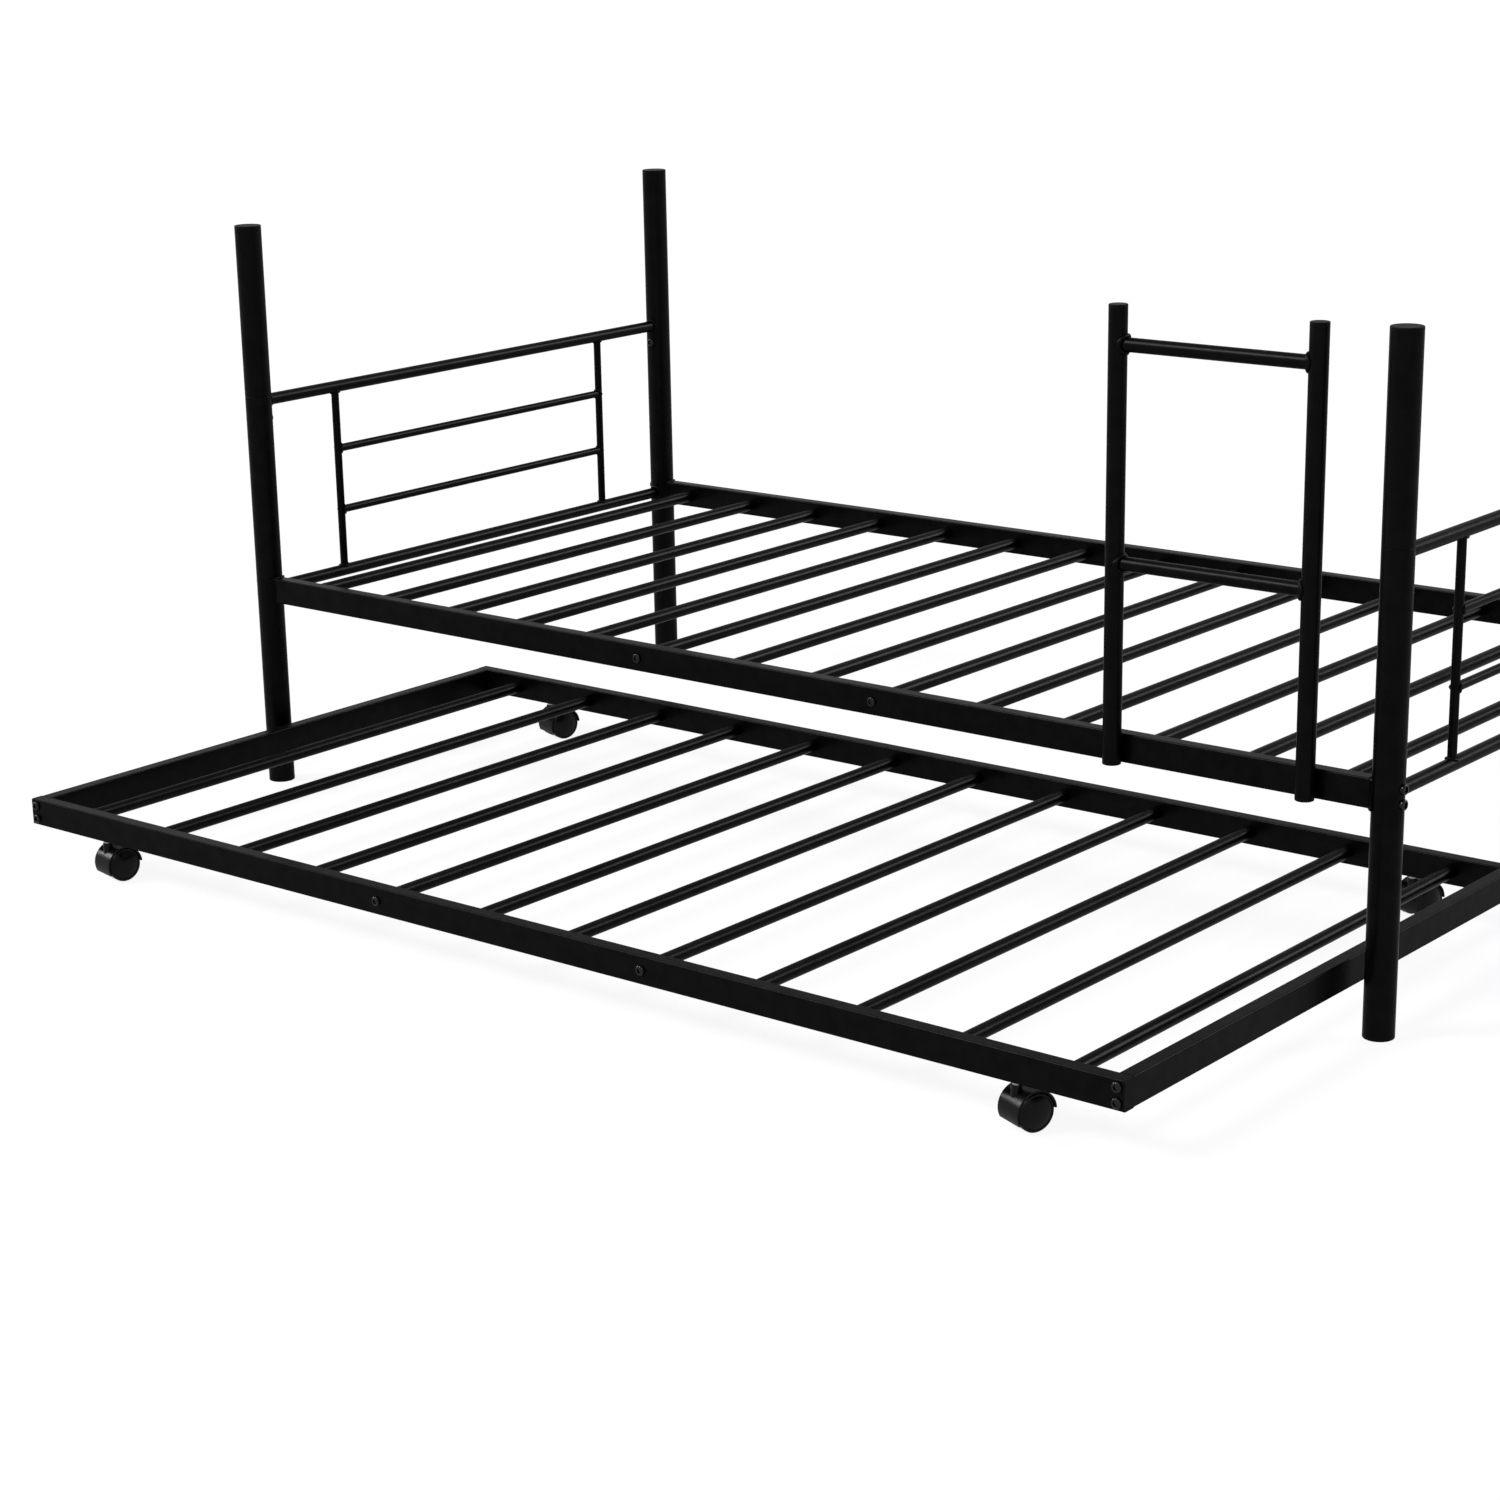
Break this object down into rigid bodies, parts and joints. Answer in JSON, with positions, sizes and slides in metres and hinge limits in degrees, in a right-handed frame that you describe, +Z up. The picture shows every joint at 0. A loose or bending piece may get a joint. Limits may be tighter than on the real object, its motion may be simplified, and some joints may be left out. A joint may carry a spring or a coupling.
{
  "type": "trundle bed",
  "caption": "Black steel tube bed with end panels, ladder and round slats, and a wheeled slatted trundle frame that rolls out from under it.",
  "frame": {"origin": "on the floor, at the centre of the footprint with the trundle rolled part way out", "axes": "+X along the bed towards the foot panel, +Y towards the back of the bed, +Z up"},
  "size_m": [1.988, 1.4814, 0.866],
  "materials": {
    "frame_black": "satin black powder coat",
    "bolt_black": "black oxide, slightly glossy",
    "plug_black": "matte black plastic",
    "caster_black": "smooth black nylon",
    "zinc": "bright zinc plate",
    "inner_steel": "plain steel, hidden"
  },
  "bodies": {
    "bed_frame": {"post_head_front": "frame_black", "upper_post_head_front": "frame_black", "post_head_back": "frame_black", "upper_post_head_back": "frame_black", "post_foot_front": "frame_black", "upper_post_foot_front": "frame_black", "post_foot_back": "frame_black", "upper_post_foot_back": "frame_black", "post_connectors": "inner_steel", "tube_plugs": "plug_black", "joint_screws": "bolt_black", "side_rail_bolts": "bolt_black", "head_top_tube": "frame_black", "head_bottom_tube": "frame_black", "head_uprights": "frame_black", "head_bars": "frame_black", "foot_top_tube": "frame_black", "foot_bottom_tube": "frame_black", "foot_uprights": "frame_black", "foot_bars": "frame_black", "side_rail_front": "frame_black", "side_rail_back": "frame_black", "rail_saddles": "frame_black", "rail_nut_blocks": "inner_steel", "bed_slats": "frame_black", "bed_tie_bolts": "bolt_black", "ladder_stringer_head": "frame_black", "ladder_stringer_foot": "frame_black", "ladder_rungs": "frame_black", "ladder_bolts": "bolt_black"},
    "trundle": {"trundle_rail_front": "frame_black", "trundle_rail_back": "frame_black", "trundle_rail_head": "frame_black", "trundle_rail_foot": "frame_black", "trundle_slats": "frame_black", "trundle_tie_bolts": "bolt_black", "trundle_corner_bolts": "bolt_black", "trundle_corner_nuts": "inner_steel", "trundle_end_caps": "plug_black", "caster_sockets": "inner_steel"},
    "caster_head_front_swivel": {"caster_head_front_hood": "caster_black", "caster_head_front_stem": "zinc", "caster_head_front_axle": "zinc"},
    "caster_head_front_wheel_a": {"caster_head_front_wheel_a": "caster_black"},
    "caster_head_front_wheel_b": {"caster_head_front_wheel_b": "caster_black"},
    "caster_head_back_swivel": {"caster_head_back_hood": "caster_black", "caster_head_back_stem": "zinc", "caster_head_back_axle": "zinc"},
    "caster_head_back_wheel_a": {"caster_head_back_wheel_a": "caster_black"},
    "caster_head_back_wheel_b": {"caster_head_back_wheel_b": "caster_black"},
    "caster_foot_front_swivel": {"caster_foot_front_hood": "caster_black", "caster_foot_front_stem": "zinc", "caster_foot_front_axle": "zinc"},
    "caster_foot_front_wheel_a": {"caster_foot_front_wheel_a": "caster_black"},
    "caster_foot_front_wheel_b": {"caster_foot_front_wheel_b": "caster_black"},
    "caster_foot_back_swivel": {"caster_foot_back_hood": "caster_black", "caster_foot_back_stem": "zinc", "caster_foot_back_axle": "zinc"},
    "caster_foot_back_wheel_a": {"caster_foot_back_wheel_a": "caster_black"},
    "caster_foot_back_wheel_b": {"caster_foot_back_wheel_b": "caster_black"}
  },
  "joints": [
    {"name": "trundle_roll", "type": "slide", "parent": "bed_frame", "child": "trundle", "axis": [0, -1, 0], "range_m": [-0.507, 0.48]},
    {"name": "caster_head_front_swivel", "type": "hinge", "parent": "trundle", "child": "caster_head_front_swivel", "pos_m": [-0.785, -0.72181, 0.056], "axis": [0, 0, 1], "continuous": true},
    {"name": "caster_head_front_wheel_a", "type": "hinge", "parent": "caster_head_front_swivel", "child": "caster_head_front_wheel_a", "pos_m": [-0.78188, -0.70714, 0.024], "axis": [0.9781, -0.2079, 0], "continuous": true},
    {"name": "caster_head_front_wheel_b", "type": "hinge", "parent": "caster_head_front_swivel", "child": "caster_head_front_wheel_b", "pos_m": [-0.78188, -0.70714, 0.024], "axis": [0.9781, -0.2079, 0], "continuous": true},
    {"name": "caster_head_back_swivel", "type": "hinge", "parent": "trundle", "child": "caster_head_back_swivel", "pos_m": [-0.785, 0.21319, 0.056], "axis": [0, 0, 1], "continuous": true},
    {"name": "caster_head_back_wheel_a", "type": "hinge", "parent": "caster_head_back_swivel", "child": "caster_head_back_wheel_a", "pos_m": [-0.78087, 0.22761, 0.024], "axis": [0.9613, -0.2756, 0], "continuous": true},
    {"name": "caster_head_back_wheel_b", "type": "hinge", "parent": "caster_head_back_swivel", "child": "caster_head_back_wheel_b", "pos_m": [-0.78087, 0.22761, 0.024], "axis": [0.9613, -0.2756, 0], "continuous": true},
    {"name": "caster_foot_front_swivel", "type": "hinge", "parent": "trundle", "child": "caster_foot_front_swivel", "pos_m": [0.785, -0.72181, 0.056], "axis": [0, 0, 1], "continuous": true},
    {"name": "caster_foot_front_wheel_a", "type": "hinge", "parent": "caster_foot_front_swivel", "child": "caster_foot_front_wheel_a", "pos_m": [0.79062, -0.7079, 0.024], "axis": [0.9272, -0.3746, 0], "continuous": true},
    {"name": "caster_foot_front_wheel_b", "type": "hinge", "parent": "caster_foot_front_swivel", "child": "caster_foot_front_wheel_b", "pos_m": [0.79062, -0.7079, 0.024], "axis": [0.9272, -0.3746, 0], "continuous": true},
    {"name": "caster_foot_back_swivel", "type": "hinge", "parent": "trundle", "child": "caster_foot_back_swivel", "pos_m": [0.785, 0.21319, 0.056], "axis": [0, 0, 1], "continuous": true},
    {"name": "caster_foot_back_wheel_a", "type": "hinge", "parent": "caster_foot_back_swivel", "child": "caster_foot_back_wheel_a", "pos_m": [0.78914, 0.22761, 0.024], "axis": [0.9613, -0.2756, 0], "continuous": true},
    {"name": "caster_foot_back_wheel_b", "type": "hinge", "parent": "caster_foot_back_swivel", "child": "caster_foot_back_wheel_b", "pos_m": [0.78914, 0.22761, 0.024], "axis": [0.9613, -0.2756, 0], "continuous": true}
  ]
}
